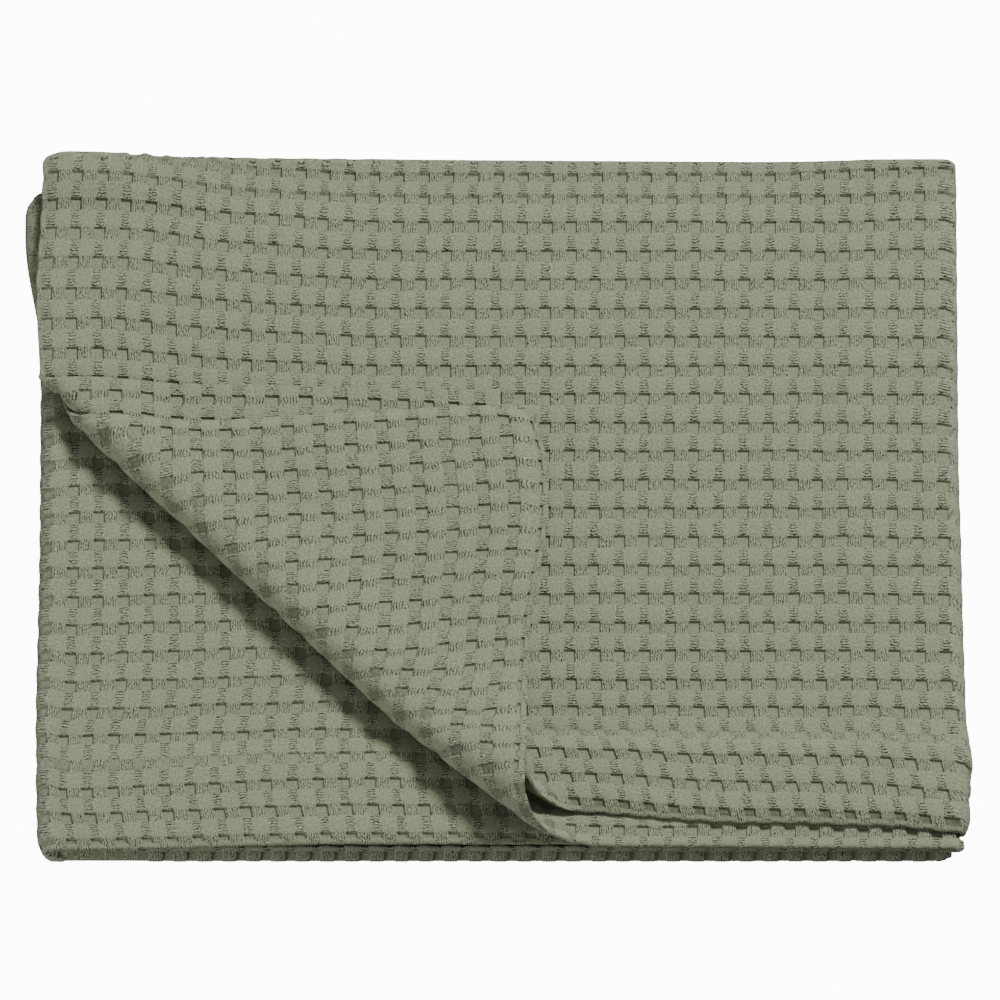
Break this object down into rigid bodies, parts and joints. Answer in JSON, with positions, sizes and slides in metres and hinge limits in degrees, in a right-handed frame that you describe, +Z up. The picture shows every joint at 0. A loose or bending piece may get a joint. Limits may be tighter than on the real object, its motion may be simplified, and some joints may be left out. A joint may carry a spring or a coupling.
{
  "type": "folded waffle weave cotton blanket",
  "caption": "hemmed rectangle of thick waffle weave cotton, doubled and folded in thirds into a flat packet, with the corner of the two upper layers turned back diagonally",
  "frame": {"origin": "centre of the bounding box in X and Y, on the surface it lies on in Z", "axes": "X runs along the packet's width towards the closed right fold, Y from the front hems to the back fold, Z up through the layers"},
  "size_m": [0.3778, 0.304, 0.0413],
  "materials": {
    "cotton": "matt sage green waffle weave cotton"
  },
  "bodies": {
    "root": {"blanket": "cotton"}
  },
  "joints": []
}
